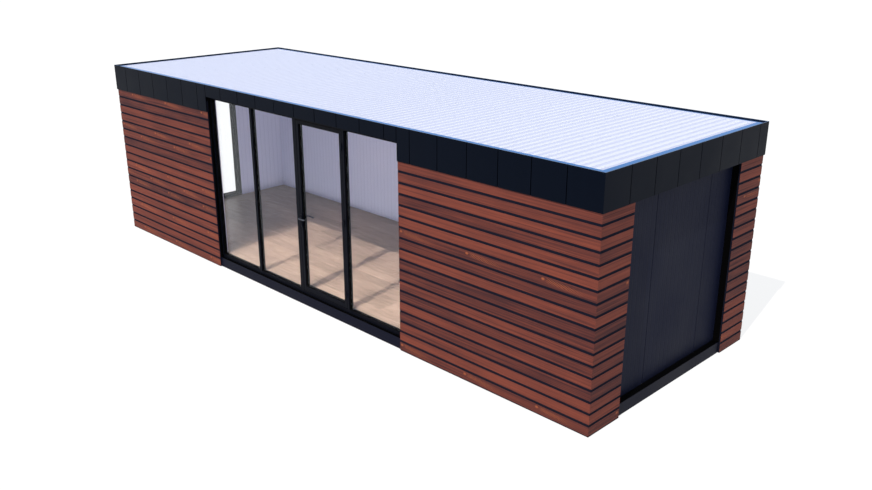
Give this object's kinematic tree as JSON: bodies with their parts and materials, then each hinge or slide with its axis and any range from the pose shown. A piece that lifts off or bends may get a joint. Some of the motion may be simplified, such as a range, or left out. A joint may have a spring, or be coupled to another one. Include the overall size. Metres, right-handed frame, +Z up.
{
  "type": "office container",
  "caption": "Flat-roofed office container, timber clad, with a recessed dark glazed front, a hinged glass door and a ribbed metal roof behind a fascia.",
  "frame": {"origin": "middle of the footprint, on the ground", "axes": "+X along the building, to the right as seen from the glazed front; the glazed front faces -Y; +Z up"},
  "size_m": [10.1, 3.41, 2.914],
  "materials": {
    "frame_steel": "satin anthracite paint",
    "galvanised_steel": "galvanised",
    "floor_underside": "coated sheet",
    "floor_wood": "light matt planks",
    "batten_wood": "rough sawn",
    "wall_panel": "micro-ribbed anthracite sheet",
    "white_lining": "white ribbed sheet",
    "roof_core": "insulation core",
    "roof_sheet": "pale blue-white coated sheet",
    "fascia_sheet": "satin anthracite paint",
    "coping_sheet": "satin anthracite sheet that mirrors the sky",
    "cladding_wood": "oiled red-brown boards",
    "dark_trim": "matt black",
    "window_frame": "anthracite powder coat",
    "rubber_seal": "black seal",
    "clear_glass": "clear sealed glass",
    "handle_metal": "dark satin steel",
    "hinge_metal": "anthracite powder coat"
  },
  "bodies": {
    "building": {"base_beams_long": "frame_steel", "base_beams_end": "frame_steel", "floor_joists": "galvanised_steel", "floor_deck": "floor_underside", "floor_boards": "floor_wood", "corner_posts": "galvanised_steel", "cladding_battens": "batten_wood", "front_walls": "wall_panel", "back_wall": "wall_panel", "right_wall": "wall_panel", "left_walls": "wall_panel", "left_wall_head": "wall_panel", "long_linings": "white_lining", "end_linings": "white_lining", "left_lining_head": "white_lining", "ceiling": "white_lining", "roof_beams_long": "galvanised_steel", "roof_beams_end": "galvanised_steel", "roof_panel": "roof_core", "roof_sheet": "roof_sheet", "fascia_front": "fascia_sheet", "fascia_back": "fascia_sheet", "fascia_left": "fascia_sheet", "fascia_right": "fascia_sheet", "coping_front": "coping_sheet", "coping_back": "coping_sheet", "coping_left": "coping_sheet", "coping_right": "coping_sheet", "cladding_front": "cladding_wood", "cladding_back": "cladding_wood", "cladding_left": "cladding_wood", "cladding_right": "cladding_wood", "reveal_jambs": "dark_trim", "reveal_soffits": "dark_trim", "glazing_head": "window_frame", "glazing_sill": "window_frame", "glazing_jambs": "window_frame", "mullions": "window_frame", "door_stops": "rubber_seal", "fixed_glass": "clear_glass", "end_window_jambs": "window_frame", "end_window_rails": "window_frame", "end_window_glass": "clear_glass", "frame_hinges": "hinge_metal"},
    "door": {"door_stiles": "window_frame", "door_rails": "window_frame", "door_glass": "clear_glass", "handle_plates": "handle_metal", "leaf_hinges": "hinge_metal"},
    "lever": {"door_lever": "handle_metal"}
  },
  "joints": [
    {"name": "door_hinge", "type": "hinge", "parent": "building", "child": "door", "pos_m": [0.9675, -1.634, 1.445], "axis": [0, 0, 1], "range_deg": [0, 110]},
    {"name": "lever_turn", "type": "hinge", "parent": "door", "child": "lever", "pos_m": [0.02, -1.596, 1.3], "axis": [0, 1, 0], "range_deg": [0, 40], "stiffness_Nm_per_rad": 3, "springref_deg": -28.65}
  ]
}
